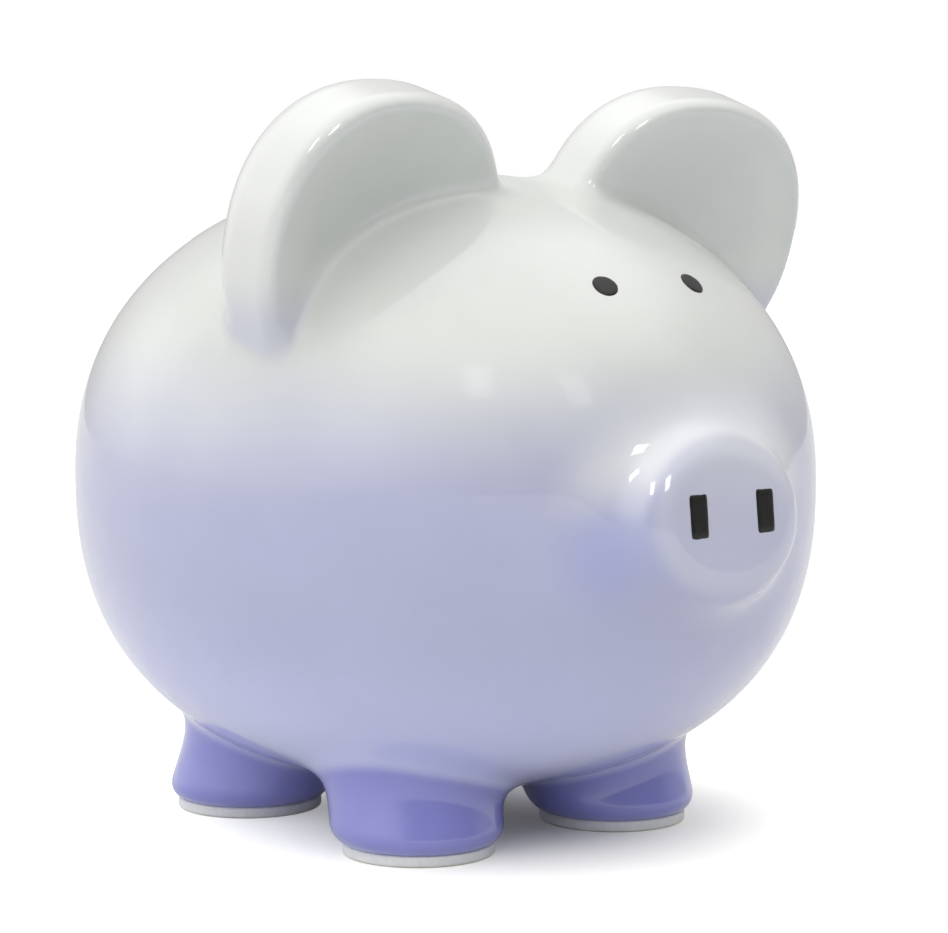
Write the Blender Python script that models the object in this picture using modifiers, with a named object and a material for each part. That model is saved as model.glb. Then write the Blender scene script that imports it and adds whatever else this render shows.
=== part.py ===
"""Piggy bank: a hollow glazed ceramic pig with a coin slot in its back and a pull-out plug in its belly.

Metres, +Z up. The pig faces -Y and its left side is at +X. The origin is on the floor, midway
between the front of the snout and the end of the tail.
"""
import math

import bmesh
import bpy
from mathutils import Matrix, Vector

# ---- Driving dimensions (metres and degrees) ----

# Fit between neighbouring pieces
GAP = 0.0003
TRIM_GAP = 0.00036          # a little more where a faceted piece is trimmed by the body

# Body: a turned egg, stretched from nose to tail
BODY_HALF_WIDTH = 0.090
BODY_HALF_LENGTH = 0.102
BODY_HALF_HEIGHT = 0.0777
BODY_CENTRE_Z = 0.0885
BODY_ROUND_TOP = 2.2        # superellipse exponent above the middle
BODY_ROUND_BOTTOM = 2.4     # and below it, where the belly is flatter
BODY_WALL = 0.0045
BODY_PROFILE_POINTS = 22
BODY_STEPS = 48

# Coin slot, along the spine behind the ears
SLOT_LENGTH = 0.038
SLOT_WIDTH = 0.005
SLOT_CENTRE_Y = 0.026
SLOT_CUT_DEPTH = 0.030
SLOT_END_ROUND = 0.46       # corner radius over slot width

# Belly stopper and its hole
HOLE_RADIUS = 0.016
HOLE_CUT_DEPTH = 0.018
PLUG_HEIGHT = 0.0095
PLUG_WALL = 0.0025
PLUG_CHAMFER = 0.0010
PLUG_FLOOR = 0.00096        # height of the cup's floor above the flange
FLANGE_RADIUS = 0.019
FLANGE_THICKNESS = 0.0024
FLANGE_EDGE = 0.0006
GRIP_RECESS_RADIUS = 0.0125
GRIP_RECESS_DEPTH = 0.0012
GRIP_RADIUS = 0.0040
STOPPER_STEPS = 40

# Ears: thick discs with a dished front
EAR_CENTRE = Vector((0.049, -0.0305, 0.152))    # left ear; the right one mirrors it
EAR_RADIUS = 0.0366
EAR_SQUARENESS = 2.28       # superellipse exponent of the outline
EAR_THICKNESS = 0.0225
EAR_FRONT_EDGE = 0.005
EAR_BACK_EDGE = 0.009
EAR_DISH_DEPTH = 0.006
EAR_BACK_CROWN = 0.002
EAR_BACK_TURN = -84.0       # where the back edge's rounding stops and the crown begins
EAR_CROWN_RING = 0.5        # where the ring of points in the crown lies
EAR_LEAN = 17.0             # top towards the snout
EAR_SPLAY = 2.0             # top away from the middle
EAR_YAW = -6.0              # front turned towards the middle
EAR_STEPS = 44

# Snout: an oval frustum with a flat front that leans back a little
SNOUT_FRONT_Y = -0.1083     # middle of the front face
SNOUT_CENTRE_Z = 0.0870
SNOUT_HALF_WIDTH = 0.0228
SNOUT_HALF_HEIGHT = 0.0182
SNOUT_FLARE = 1.60          # size at the buried end over size at the front
SNOUT_LENGTH = 0.030
SNOUT_TILT = 6.0            # top of the face away from the front
SNOUT_EDGE = 0.005
SNOUT_STEPS = 48

# Legs and the pads under them
FOOT_X = 0.0317
FOOT_FRONT_Y = -0.0312
FOOT_REAR_Y = 0.0412
FOOT_RADIUS = 0.0220
LEG_LENGTH = 0.040
LEG_TOP_RADIUS_FRONT = 0.0180
LEG_TOP_RADIUS_REAR = 0.0130
LEG_LEAN_FRONT = 0.18       # how far the leg's axis shifts rearward for each unit of height
LEG_LEAN_REAR = -0.14
FOOT_EDGE = 0.005
LEG_STEPS = 36
PAD_RADIUS = 0.0188
PAD_THICKNESS = 0.0025
PAD_EDGE = 0.0004

# Tail: a tapering curl that lies against the rump
TAIL_CENTRE_Z = 0.106
TAIL_COIL_START = 0.0105    # radius of the curl at the root
TAIL_COIL_END = 0.0045      # and at the tip
TAIL_START_ANGLE = -100.0
TAIL_TURN = 330.0
TAIL_THICK = 0.0040         # tube radius at the root
TAIL_THIN = 0.0024          # and at the tip
TAIL_LIFT_START = -0.003    # centre line above the rump at the root
TAIL_LIFT_END = 0.0069      # and at the tip
TAIL_POINTS = 26
TAIL_TIP_ROUND = 9.0        # how fast the tube closes at the tip
TAIL_TIP_END = 0.25         # share of its section left at the very tip

# Black enamel marks
MARK_THICKNESS = 0.0005
EYE_X = 0.0138
EYE_Z = 0.1398
EYE_RADIUS = 0.0033
EYE_STEPS = 24
NOSTRIL_X = 0.0105
NOSTRIL_Z = 0.0880
NOSTRIL_WIDTH = 0.0059
NOSTRIL_HEIGHT = 0.0106
NOSTRIL_CORNER = 0.0010

SMOOTH_ANGLE = math.radians(35.0)
MERGE_DISTANCE = 0.00001


# ---- Scene and material helpers ----

def clear_scene():
    for obj in list(bpy.data.objects):
        bpy.data.objects.remove(obj, do_unlink=True)


def new_collection(name):
    collection = bpy.data.collections.new(name)
    bpy.context.scene.collection.children.link(collection)
    return collection


def principled(name, color, roughness, coat=0.0):
    material = bpy.data.materials.new(name)
    material.use_nodes = True
    shader = material.node_tree.nodes["Principled BSDF"]
    shader.inputs["Base Color"].default_value = (*color, 1.0)
    shader.inputs["Roughness"].default_value = roughness
    shader.inputs["Metallic"].default_value = 0.0
    shader.inputs["Coat Weight"].default_value = coat
    material.diffuse_color = (*color, 1.0)
    return material


def add_object(name, mesh, collection, material=None):
    obj = bpy.data.objects.new(name, mesh)
    collection.objects.link(obj)
    if material:
        mesh.materials.clear()
        mesh.materials.append(material)
    return obj


def shade_round(mesh):
    mesh.shade_smooth()
    mesh.set_sharp_from_angle(angle=SMOOTH_ANGLE)


def mesh_from_bmesh(name, bm):
    mesh = bpy.data.meshes.new(name)
    bm.to_mesh(mesh)
    bm.free()
    return mesh


def evaluated_mesh(obj):
    """The object's mesh with its modifiers applied, in its own space."""
    graph = bpy.context.evaluated_depsgraph_get()
    graph.update()
    return bpy.data.meshes.new_from_object(obj.evaluated_get(graph))


def add_boolean(obj, cutter):
    cut = obj.modifiers.new("cut_" + cutter.name, "BOOLEAN")
    cut.operation = "DIFFERENCE"
    cut.solver = "EXACT"
    cut.object = cutter


def add_bevel(obj, width, segments):
    bevel = obj.modifiers.new("rounded_edge", "BEVEL")
    bevel.width = width
    bevel.segments = segments
    bevel.limit_method = "ANGLE"
    bevel.angle_limit = math.radians(40.0)


def as_cutter(obj):
    obj.hide_render = True
    obj.display_type = "WIRE"


# ---- Shape helpers ----

def turned_mesh(name, profile, steps):
    """Turn a profile of (radius, height) points, top to bottom, about Z."""
    bm = bmesh.new()
    verts = [bm.verts.new((radius, 0.0, height)) for radius, height in profile]
    for upper, lower in zip(verts, verts[1:]):
        bm.edges.new((upper, lower))
    guide = bpy.data.objects.new(name + "_profile", mesh_from_bmesh(name + "_profile", bm))
    bpy.context.scene.collection.objects.link(guide)
    screw = guide.modifiers.new("turn", "SCREW")
    screw.axis = "Z"
    screw.steps = steps
    screw.render_steps = steps
    screw.use_merge_vertices = True
    screw.merge_threshold = MERGE_DISTANCE
    mesh = evaluated_mesh(guide)
    mesh.name = name
    bpy.data.objects.remove(guide, do_unlink=True)
    return mesh


def arc(centre, radius, start_deg, end_deg, segments):
    """Points on an arc in the (radius, height) plane, both ends included."""
    points = []
    for i in range(segments + 1):
        angle = math.radians(start_deg + (end_deg - start_deg) * i / segments)
        points.append((centre[0] + radius * math.cos(angle), centre[1] + radius * math.sin(angle)))
    return points


def superellipse(angle, exponent):
    """Radius of the unit superellipse in the direction of angle."""
    return (abs(math.cos(angle)) ** exponent + abs(math.sin(angle)) ** exponent) ** (-1.0 / exponent)


# ---- Body ----

def body_profile(grow):
    """The egg's outline about its centre, from the top pole to the bottom pole."""
    points = []
    for i in range(BODY_PROFILE_POINTS + 1):
        angle = math.pi * (0.5 - i / BODY_PROFILE_POINTS)
        power = BODY_ROUND_TOP if angle > 0 else BODY_ROUND_BOTTOM
        radius = abs(math.cos(angle)) ** (2.0 / power) * (BODY_HALF_WIDTH + grow)
        height = abs(math.sin(angle)) ** (2.0 / power) * (BODY_HALF_HEIGHT + grow)
        at_pole = i in (0, BODY_PROFILE_POINTS)
        points.append((0.0 if at_pole else radius, math.copysign(height, angle)))
    return points


def body_skin(name, grow):
    """The egg as a closed surface: turned, then stretched along Y."""
    mesh = turned_mesh(name, body_profile(grow), BODY_STEPS)
    stretch = (BODY_HALF_LENGTH + grow) / (BODY_HALF_WIDTH + grow)
    mesh.transform(Matrix.Scale(stretch, 4, Vector((0.0, 1.0, 0.0))))
    return mesh


def body_rear_y(x, z):
    """Where the body's rear surface lies, in world Y."""
    power = BODY_ROUND_TOP if z > BODY_CENTRE_Z else BODY_ROUND_BOTTOM
    level = (1.0 - (abs(z - BODY_CENTRE_Z) / BODY_HALF_HEIGHT) ** power) ** (1.0 / power)
    return BODY_HALF_LENGTH * math.sqrt(level ** 2 - (x / BODY_HALF_WIDTH) ** 2)


def body_cutter(cutters):
    """The body's outside, grown by the trimming gap: it trims whatever sits on the body."""
    cutter = add_object("body_outside", body_skin("body_outside", TRIM_GAP), cutters)
    cutter.location = (0.0, 0.0, BODY_CENTRE_Z)
    as_cutter(cutter)
    return cutter


def slot_cutter(cutters):
    """A slot with round ends, made as a bevelled box."""
    bm = bmesh.new()
    bmesh.ops.create_cube(bm, size=1.0)
    bmesh.ops.scale(bm, vec=(SLOT_WIDTH, SLOT_LENGTH, SLOT_CUT_DEPTH), verts=bm.verts)
    upright = [edge for edge in bm.edges if abs(edge.verts[0].co.z - edge.verts[1].co.z) > SLOT_WIDTH]
    bmesh.ops.bevel(bm, geom=upright, offset=SLOT_WIDTH * SLOT_END_ROUND, segments=4, profile=0.5, affect="EDGES")
    cutter = add_object("slot_space", mesh_from_bmesh("slot_space", bm), cutters)
    cutter.location = (0.0, SLOT_CENTRE_Y, BODY_CENTRE_Z + BODY_HALF_HEIGHT)
    as_cutter(cutter)
    return cutter


def hole_cutter(cutters):
    bm = bmesh.new()
    bmesh.ops.create_cone(bm, cap_ends=True, segments=STOPPER_STEPS, radius1=HOLE_RADIUS,
                          radius2=HOLE_RADIUS, depth=HOLE_CUT_DEPTH)
    cutter = add_object("hole_space", mesh_from_bmesh("hole_space", bm), cutters)
    cutter.location = (0.0, 0.0, BODY_CENTRE_Z - BODY_HALF_HEIGHT + 0.5 * BODY_WALL)
    as_cutter(cutter)
    return cutter


def make_body(parts, cutters, material):
    mesh = body_skin("body_shell", 0.0)
    shade_round(mesh)
    body = add_object("body_shell", mesh, parts, material)
    body.location = (0.0, 0.0, BODY_CENTRE_Z)
    wall = body.modifiers.new("wall", "SOLIDIFY")
    wall.thickness = BODY_WALL
    wall.offset = -1.0
    add_boolean(body, slot_cutter(cutters))
    add_boolean(body, hole_cutter(cutters))
    return body


# ---- Ears ----

def ear_profile():
    """Half section of an ear, from the middle of its dished front to the middle of its back."""
    half = EAR_THICKNESS / 2.0
    crease = EAR_RADIUS - EAR_FRONT_EDGE
    points = []
    dish_steps = 5
    for i in range(dish_steps):
        reach = i / dish_steps
        points.append((crease * reach, half - EAR_DISH_DEPTH * (1.0 - reach ** 2)))
    points += arc((crease, half - EAR_FRONT_EDGE), EAR_FRONT_EDGE, 90.0, 0.0, 3)
    shoulder = (EAR_RADIUS - EAR_BACK_EDGE, EAR_BACK_EDGE - half)
    points += arc(shoulder, EAR_BACK_EDGE, 0.0, EAR_BACK_TURN, 5)
    points.append((shoulder[0] * EAR_CROWN_RING, -half - EAR_BACK_CROWN * (1.0 - EAR_CROWN_RING ** 2)))
    points.append((0.0, -half - EAR_BACK_CROWN))
    return points


def ear_mesh():
    """An ear about its own centre, front towards -Y."""
    mesh = turned_mesh("ear", ear_profile(), EAR_STEPS)
    for vertex in mesh.vertices:
        widen = superellipse(math.atan2(vertex.co.y, vertex.co.x), EAR_SQUARENESS)
        vertex.co.x *= widen
        vertex.co.y *= widen
    mesh.transform(Matrix.Rotation(math.radians(90.0), 4, "X"))
    shade_round(mesh)
    return mesh


def make_ear(name, side, parts, body_outside, material):
    """side is +1 for the pig's left ear and -1 for its right ear."""
    ear = add_object(name, ear_mesh(), parts, material)
    ear.location = (side * EAR_CENTRE.x, EAR_CENTRE.y, EAR_CENTRE.z)
    ear.rotation_mode = "YXZ"
    ear.rotation_euler = (math.radians(EAR_LEAN), math.radians(side * EAR_SPLAY), math.radians(side * EAR_YAW))
    add_boolean(ear, body_outside)
    return ear


# ---- Snout ----

def make_snout(parts, body_outside, material):
    bm = bmesh.new()
    bmesh.ops.create_cone(bm, cap_ends=True, segments=SNOUT_STEPS, radius1=SNOUT_FLARE, radius2=1.0,
                          depth=SNOUT_LENGTH)
    bmesh.ops.scale(bm, vec=(SNOUT_HALF_WIDTH, SNOUT_HALF_HEIGHT, 1.0), verts=bm.verts)
    bmesh.ops.rotate(bm, cent=(0.0, 0.0, 0.0), matrix=Matrix.Rotation(math.radians(90.0), 3, "X"),
                     verts=bm.verts)
    mesh = mesh_from_bmesh("snout", bm)
    shade_round(mesh)
    snout = add_object("snout", mesh, parts, material)
    tilt = math.radians(SNOUT_TILT)
    half = SNOUT_LENGTH / 2.0
    snout.location = (0.0, SNOUT_FRONT_Y + half * math.cos(tilt), SNOUT_CENTRE_Z - half * math.sin(tilt))
    snout.rotation_euler = (-tilt, 0.0, 0.0)
    add_bevel(snout, SNOUT_EDGE, 4)
    add_boolean(snout, body_outside)
    return snout


# ---- Legs and pads ----

def make_leg(name, x, y, top_radius, lean, parts, body_outside, material):
    bm = bmesh.new()
    bmesh.ops.create_cone(bm, cap_ends=True, segments=LEG_STEPS, radius1=FOOT_RADIUS, radius2=top_radius,
                          depth=LEG_LENGTH)
    bmesh.ops.translate(bm, vec=(0.0, 0.0, LEG_LENGTH / 2.0), verts=bm.verts)
    for vert in bm.verts:
        vert.co.y += lean * vert.co.z
    mesh = mesh_from_bmesh(name, bm)
    shade_round(mesh)
    leg = add_object(name, mesh, parts, material)
    leg.location = (x, y, PAD_THICKNESS + GAP)
    add_bevel(leg, FOOT_EDGE, 4)
    add_boolean(leg, body_outside)
    return leg


def make_pad(name, x, y, parts, material):
    bm = bmesh.new()
    bmesh.ops.create_cone(bm, cap_ends=True, segments=LEG_STEPS, radius1=PAD_RADIUS, radius2=PAD_RADIUS,
                          depth=PAD_THICKNESS)
    mesh = mesh_from_bmesh(name, bm)
    shade_round(mesh)
    pad = add_object(name, mesh, parts, material)
    pad.location = (x, y, PAD_THICKNESS / 2.0)
    add_bevel(pad, PAD_EDGE, 2)
    return pad


# ---- Tail ----

def make_tail(parts, body_outside, material):
    curve = bpy.data.curves.new("tail_line", "CURVE")
    curve.dimensions = "3D"
    curve.bevel_depth = 1.0
    curve.bevel_resolution = 3
    curve.use_fill_caps = True
    spline = curve.splines.new("POLY")
    spline.points.add(TAIL_POINTS - 1)
    for i, point in enumerate(spline.points):
        along = i / (TAIL_POINTS - 1)
        angle = math.radians(TAIL_START_ANGLE + TAIL_TURN * along)
        coil = TAIL_COIL_START + (TAIL_COIL_END - TAIL_COIL_START) * along
        x = coil * math.cos(angle)
        z = TAIL_CENTRE_Z + coil * math.sin(angle)
        lift = TAIL_LIFT_START + (TAIL_LIFT_END - TAIL_LIFT_START) * math.sin(along * math.pi / 2.0)
        point.co = (x, body_rear_y(x, z) + lift, z, 1.0)
        tip = min(1.0, (1.0 - along) * TAIL_TIP_ROUND + TAIL_TIP_END)
        point.radius = (TAIL_THICK + (TAIL_THIN - TAIL_THICK) * along) * math.sqrt(tip)
    line = bpy.data.objects.new("tail_line", curve)
    bpy.context.scene.collection.objects.link(line)
    mesh = evaluated_mesh(line)
    mesh.name = "tail"
    bpy.data.objects.remove(line, do_unlink=True)
    bm = bmesh.new()
    bm.from_mesh(mesh)
    bmesh.ops.remove_doubles(bm, verts=bm.verts, dist=MERGE_DISTANCE)
    bmesh.ops.recalc_face_normals(bm, faces=bm.faces)
    bm.to_mesh(mesh)
    bm.free()
    shade_round(mesh)
    tail = add_object("tail", mesh, parts, material)
    add_boolean(tail, body_outside)
    return tail


# ---- Enamel marks ----

def body_front_point(x, z):
    """Point and outward normal on the upper front of the body."""
    y = -body_rear_y(x, z)
    rise = (z - BODY_CENTRE_Z) / BODY_HALF_HEIGHT
    level = math.hypot(x / BODY_HALF_WIDTH, y / BODY_HALF_LENGTH)
    pull = level ** (BODY_ROUND_TOP - 2.0)
    normal = Vector((pull * x / BODY_HALF_WIDTH ** 2, pull * y / BODY_HALF_LENGTH ** 2,
                     rise ** (BODY_ROUND_TOP - 1.0) / BODY_HALF_HEIGHT))
    return Vector((x, y, z)), normal.normalized()


def make_eye(name, side, parts, material):
    bm = bmesh.new()
    bmesh.ops.create_cone(bm, cap_ends=True, segments=EYE_STEPS, radius1=EYE_RADIUS, radius2=EYE_RADIUS,
                          depth=MARK_THICKNESS)
    mesh = mesh_from_bmesh(name, bm)
    shade_round(mesh)
    eye = add_object(name, mesh, parts, material)
    point, normal = body_front_point(side * EYE_X, EYE_Z)
    eye.location = point + normal * (GAP + MARK_THICKNESS / 2.0)
    eye.rotation_mode = "QUATERNION"
    eye.rotation_quaternion = normal.to_track_quat("Z", "Y")
    return eye


def make_nostril(name, side, parts, material):
    bm = bmesh.new()
    bmesh.ops.create_cube(bm, size=1.0)
    bmesh.ops.scale(bm, vec=(NOSTRIL_WIDTH, MARK_THICKNESS, NOSTRIL_HEIGHT), verts=bm.verts)
    corners = [edge for edge in bm.edges if abs(edge.verts[0].co.y - edge.verts[1].co.y) > MARK_THICKNESS / 2.0]
    bmesh.ops.bevel(bm, geom=corners, offset=NOSTRIL_CORNER, segments=3, profile=0.5, affect="EDGES")
    mesh = mesh_from_bmesh(name, bm)
    nostril = add_object(name, mesh, parts, material)
    tilt = math.radians(SNOUT_TILT)
    out = GAP + MARK_THICKNESS / 2.0
    face_y = SNOUT_FRONT_Y + (NOSTRIL_Z - SNOUT_CENTRE_Z) * math.tan(tilt)
    nostril.location = (side * NOSTRIL_X, face_y - out * math.cos(tilt), NOSTRIL_Z + out * math.sin(tilt))
    nostril.rotation_euler = (-tilt, 0.0, 0.0)
    return nostril


# ---- Stopper ----

def stopper_profile():
    """Half section of the plug from its cup's floor, over the rim, to the grip under the flange.

    Height zero is the top of the flange, which closes against the belly.
    """
    plug = HOLE_RADIUS - GAP
    bore = plug - PLUG_WALL
    bottom = -FLANGE_THICKNESS
    recess = bottom + GRIP_RECESS_DEPTH
    return [
        (0.0, PLUG_FLOOR),
        (bore - PLUG_CHAMFER, PLUG_FLOOR),
        (bore, PLUG_FLOOR + PLUG_CHAMFER),
        (bore, PLUG_HEIGHT),
        (plug - PLUG_CHAMFER, PLUG_HEIGHT),
        (plug, PLUG_HEIGHT - 2.0 * PLUG_CHAMFER),
        (plug, 0.0),
        (FLANGE_RADIUS - FLANGE_EDGE, 0.0),
        (FLANGE_RADIUS, -FLANGE_EDGE),
        (FLANGE_RADIUS, bottom + FLANGE_EDGE),
        (FLANGE_RADIUS - FLANGE_EDGE, bottom),
        (GRIP_RECESS_RADIUS, bottom),
        (GRIP_RECESS_RADIUS - GRIP_RECESS_DEPTH, recess),
        (GRIP_RADIUS, recess),
        (GRIP_RADIUS - FLANGE_EDGE, bottom),
        (0.0, bottom),
    ]


def make_stopper(parts, material):
    mesh = turned_mesh("belly_stopper", stopper_profile(), STOPPER_STEPS)
    shade_round(mesh)
    stopper = add_object("belly_stopper", mesh, parts, material)
    stopper.location = (0.0, 0.0, BODY_CENTRE_Z - BODY_HALF_HEIGHT - GAP)
    return stopper


# ---- The whole bank ----

def build():
    clear_scene()
    parts = new_collection("piggy_bank")
    cutters = new_collection("cutters")
    frame = bpy.data.objects.new("bank_frame", None)
    parts.objects.link(frame)

    lavender = principled("lavender_glaze", (0.52, 0.55, 0.78), 0.12, coat=0.6)
    white = principled("white_glaze", (0.82, 0.83, 0.80), 0.12, coat=0.6)
    purple = principled("purple_glaze", (0.24, 0.23, 0.52), 0.14, coat=0.6)
    black = principled("black_enamel", (0.02, 0.02, 0.02), 0.30)
    felt = principled("pad_felt", (0.72, 0.72, 0.70), 0.90)
    vinyl = principled("stopper_vinyl", (0.70, 0.69, 0.65), 0.55)

    body_outside = body_cutter(cutters)
    pieces = [
        make_body(parts, cutters, lavender),
        make_snout(parts, body_outside, lavender),
        make_tail(parts, body_outside, lavender),
        make_stopper(parts, vinyl),
    ]
    for side, hand in ((-1, "right"), (1, "left")):
        pieces.append(make_ear(hand + "_ear", side, parts, body_outside, white))
        pieces.append(make_eye(hand + "_eye", side, parts, black))
        pieces.append(make_nostril(hand + "_nostril", side, parts, black))
        for end, y, top_radius, lean in (("front", FOOT_FRONT_Y, LEG_TOP_RADIUS_FRONT, LEG_LEAN_FRONT),
                                         ("rear", FOOT_REAR_Y, LEG_TOP_RADIUS_REAR, LEG_LEAN_REAR)):
            name = hand + "_" + end
            pieces.append(make_leg(name + "_leg", side * FOOT_X, y, top_radius, lean, parts, body_outside,
                                   purple))
            pieces.append(make_pad(name + "_pad", side * FOOT_X, y, parts, felt))
    for piece in pieces:
        piece.parent = frame


build()
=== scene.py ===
"""Looks of the ceramic piggy bank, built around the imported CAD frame.

The real bank is one hollow ceramic casting, so one piece stands for the body, ears, snout, legs
and tail. It is drawn as a distance field with soft joins, turned into a mesh and pulled exactly
onto the field. Eyes, nostrils, foot pads and the belly stopper are pieces of their own. Metres
throughout.
"""

import math

import bmesh
import bpy
import numpy as np
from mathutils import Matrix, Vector


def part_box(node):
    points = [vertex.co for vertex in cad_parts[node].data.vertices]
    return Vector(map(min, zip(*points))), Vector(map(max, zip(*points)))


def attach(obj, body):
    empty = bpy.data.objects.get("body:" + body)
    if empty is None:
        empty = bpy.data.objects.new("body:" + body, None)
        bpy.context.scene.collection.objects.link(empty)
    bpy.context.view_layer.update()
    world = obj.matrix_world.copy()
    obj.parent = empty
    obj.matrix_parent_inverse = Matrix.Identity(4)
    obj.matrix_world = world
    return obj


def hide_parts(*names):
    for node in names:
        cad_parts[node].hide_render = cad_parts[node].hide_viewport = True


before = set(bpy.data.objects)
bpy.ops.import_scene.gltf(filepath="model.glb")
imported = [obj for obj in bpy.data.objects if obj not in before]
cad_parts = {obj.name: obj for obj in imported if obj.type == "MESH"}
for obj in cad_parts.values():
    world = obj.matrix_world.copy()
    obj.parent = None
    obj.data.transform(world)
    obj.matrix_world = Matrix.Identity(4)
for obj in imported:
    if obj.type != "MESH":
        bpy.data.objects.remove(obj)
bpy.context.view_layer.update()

# ---- Places and sizes read from the frame ----

body_low, body_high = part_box("body_shell")
stopper_low, stopper_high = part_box("belly_stopper")

BODY_HALF = np.array([body_high.x, body_high.y, (body_high.z - body_low.z) / 2.0])
BODY_CENTRE_Z = (body_high.z + body_low.z) / 2.0
FEET = {}
for hand in ("right", "left"):
    for end in ("front", "rear"):
        low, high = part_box(f"{hand}_{end}_pad")
        FEET[f"{hand}_{end}"] = ((low.x + high.x) / 2.0, (low.y + high.y) / 2.0)
PAD_RADIUS = (high.x - low.x) / 2.0
PAD_THICKNESS = high.z - low.z

# ---- Shape of the casting, as in the CAD ----
#
# A _JOIN is how far from its edge a piece's blend into the body reaches.

BODY_ROUND_TOP = 2.2        # superellipse power above the middle
BODY_ROUND_BOTTOM = 2.4     # and below it
BODY_WALL = 0.0045

EAR_CENTRE = np.array([0.049, -0.0305, 0.152])
EAR_RADIUS = 0.0366
EAR_SQUARENESS = 2.28       # superellipse power of the outline
EAR_THICKNESS = 0.0225
EAR_FRONT_EDGE = 0.0042
EAR_BACK_EDGE = 0.009
EAR_DISH_DEPTH = 0.008
EAR_DISH_MARGIN = 0.0034    # from the outline to the edge of the dish
EAR_DISH_EDGE = 0.0025
EAR_BACK_CROWN = 0.002
EAR_LEAN = math.radians(17.0)
EAR_SPLAY = math.radians(2.0)
EAR_YAW = math.radians(-6.0)
EAR_JOIN = 0.010

SNOUT_FRONT_Y = -0.1083
SNOUT_CENTRE_Z = 0.0870
SNOUT_HALF_WIDTH = 0.0228
SNOUT_HALF_HEIGHT = 0.0182
SNOUT_SLOPE = 0.45          # how fast the wall widens towards the body
SNOUT_TILT = math.radians(6.0)
SNOUT_EDGE = 0.005
SNOUT_DEPTH = 0.040
SNOUT_JOIN = 0.009

FOOT_RADIUS = 0.0220
LEG_LENGTH = 0.040
LEG_TOP_RADIUS = {"front": 0.0180, "rear": 0.0130}
LEG_LEAN = {"front": 0.18, "rear": -0.14}      # shift to the rear per unit of height
FOOT_EDGE = 0.0055
LEG_JOIN = 0.014

TAIL_CENTRE_Z = 0.106
TAIL_COIL_START = 0.0105
TAIL_COIL_END = 0.0045
TAIL_START_ANGLE = math.radians(-100.0)
TAIL_TURN = math.radians(330.0)
TAIL_THICK = 0.0040
TAIL_THIN = 0.0024
TAIL_LIFT_START = -0.003    # of the centre line from the rump
TAIL_LIFT_END = 0.0069
TAIL_JOIN = 0.002
TAIL_POINTS = 40
TAIL_NEAR = 0.015           # past this, a rough distance to the tail will do

SLOT_LENGTH = 0.038
SLOT_WIDTH = 0.005
SLOT_CENTRE_Y = 0.026
SLOT_LIP = 0.0016
HOLE_RADIUS = 0.016
HOLE_LIP = 0.0012

MESH_STEP = 0.0013
GRID_MARGIN = 4.0 * MESH_STEP
RELAX_ROUNDS = 6
PULL_ROUNDS = 2
RELAX_SHARE = 0.5
LEAST_SLOPE = 0.05
GRADIENT_STEP = 0.0002
TINY = 1e-9
SMALL = 1e-6


# ---- Distance fields: negative inside the clay, metres from the surface ----

def soft_min(a, b, reach):
    """The smaller of two distances, with a smooth fillet where they meet."""
    near = np.maximum(reach - np.abs(a - b), 0.0) / reach
    return np.minimum(a, b) - near ** 3 * reach / 6.0


def soft_max(a, b, reach):
    """The larger of two distances, with the edge between them rounded off."""
    return -soft_min(-a, -b, reach)


def round_corner(a, b, radius):
    """The part inside both a and b, its edge rounded to radius."""
    outside = np.hypot(np.maximum(a + radius, 0.0), np.maximum(b + radius, 0.0))
    return np.minimum(np.maximum(a, b), -radius) + outside


def superellipse_distance(u, v, half_u, half_v, power):
    """About how far (u, v) lies outside a superellipse."""
    su = np.abs(u) / half_u + TINY
    sv = np.abs(v) / half_v + TINY
    level = (su ** power + sv ** power) ** (1.0 / power)
    slope = np.hypot(su ** (power - 1.0) / half_u, sv ** (power - 1.0) / half_v)
    return (level - 1.0) / np.maximum(level ** (1.0 - power) * slope, SMALL)


def turned(u, v, angle):
    """The coordinates (u, v) read in axes turned by angle."""
    c, s = math.cos(angle), math.sin(angle)
    return c * u + s * v, c * v - s * u


def body_distance(p):
    x, y, z = p[:, 0], p[:, 1], p[:, 2] - BODY_CENTRE_Z
    power = np.where(z > 0.0, BODY_ROUND_TOP, BODY_ROUND_BOTTOM)
    across = np.sqrt((x / BODY_HALF[0]) ** 2 + (y / BODY_HALF[1]) ** 2 + SMALL ** 2)
    up = np.abs(z) / BODY_HALF[2] + TINY
    level = (across ** power + up ** power) ** (1.0 / power)
    pull = (across / level) ** (power - 1.0)
    slope_x = pull * x / (BODY_HALF[0] ** 2 * across)
    slope_y = pull * y / (BODY_HALF[1] ** 2 * across)
    slope_z = (up / level) ** (power - 1.0) / BODY_HALF[2]
    return (level - 1.0) / np.sqrt(slope_x ** 2 + slope_y ** 2 + slope_z ** 2)


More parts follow.
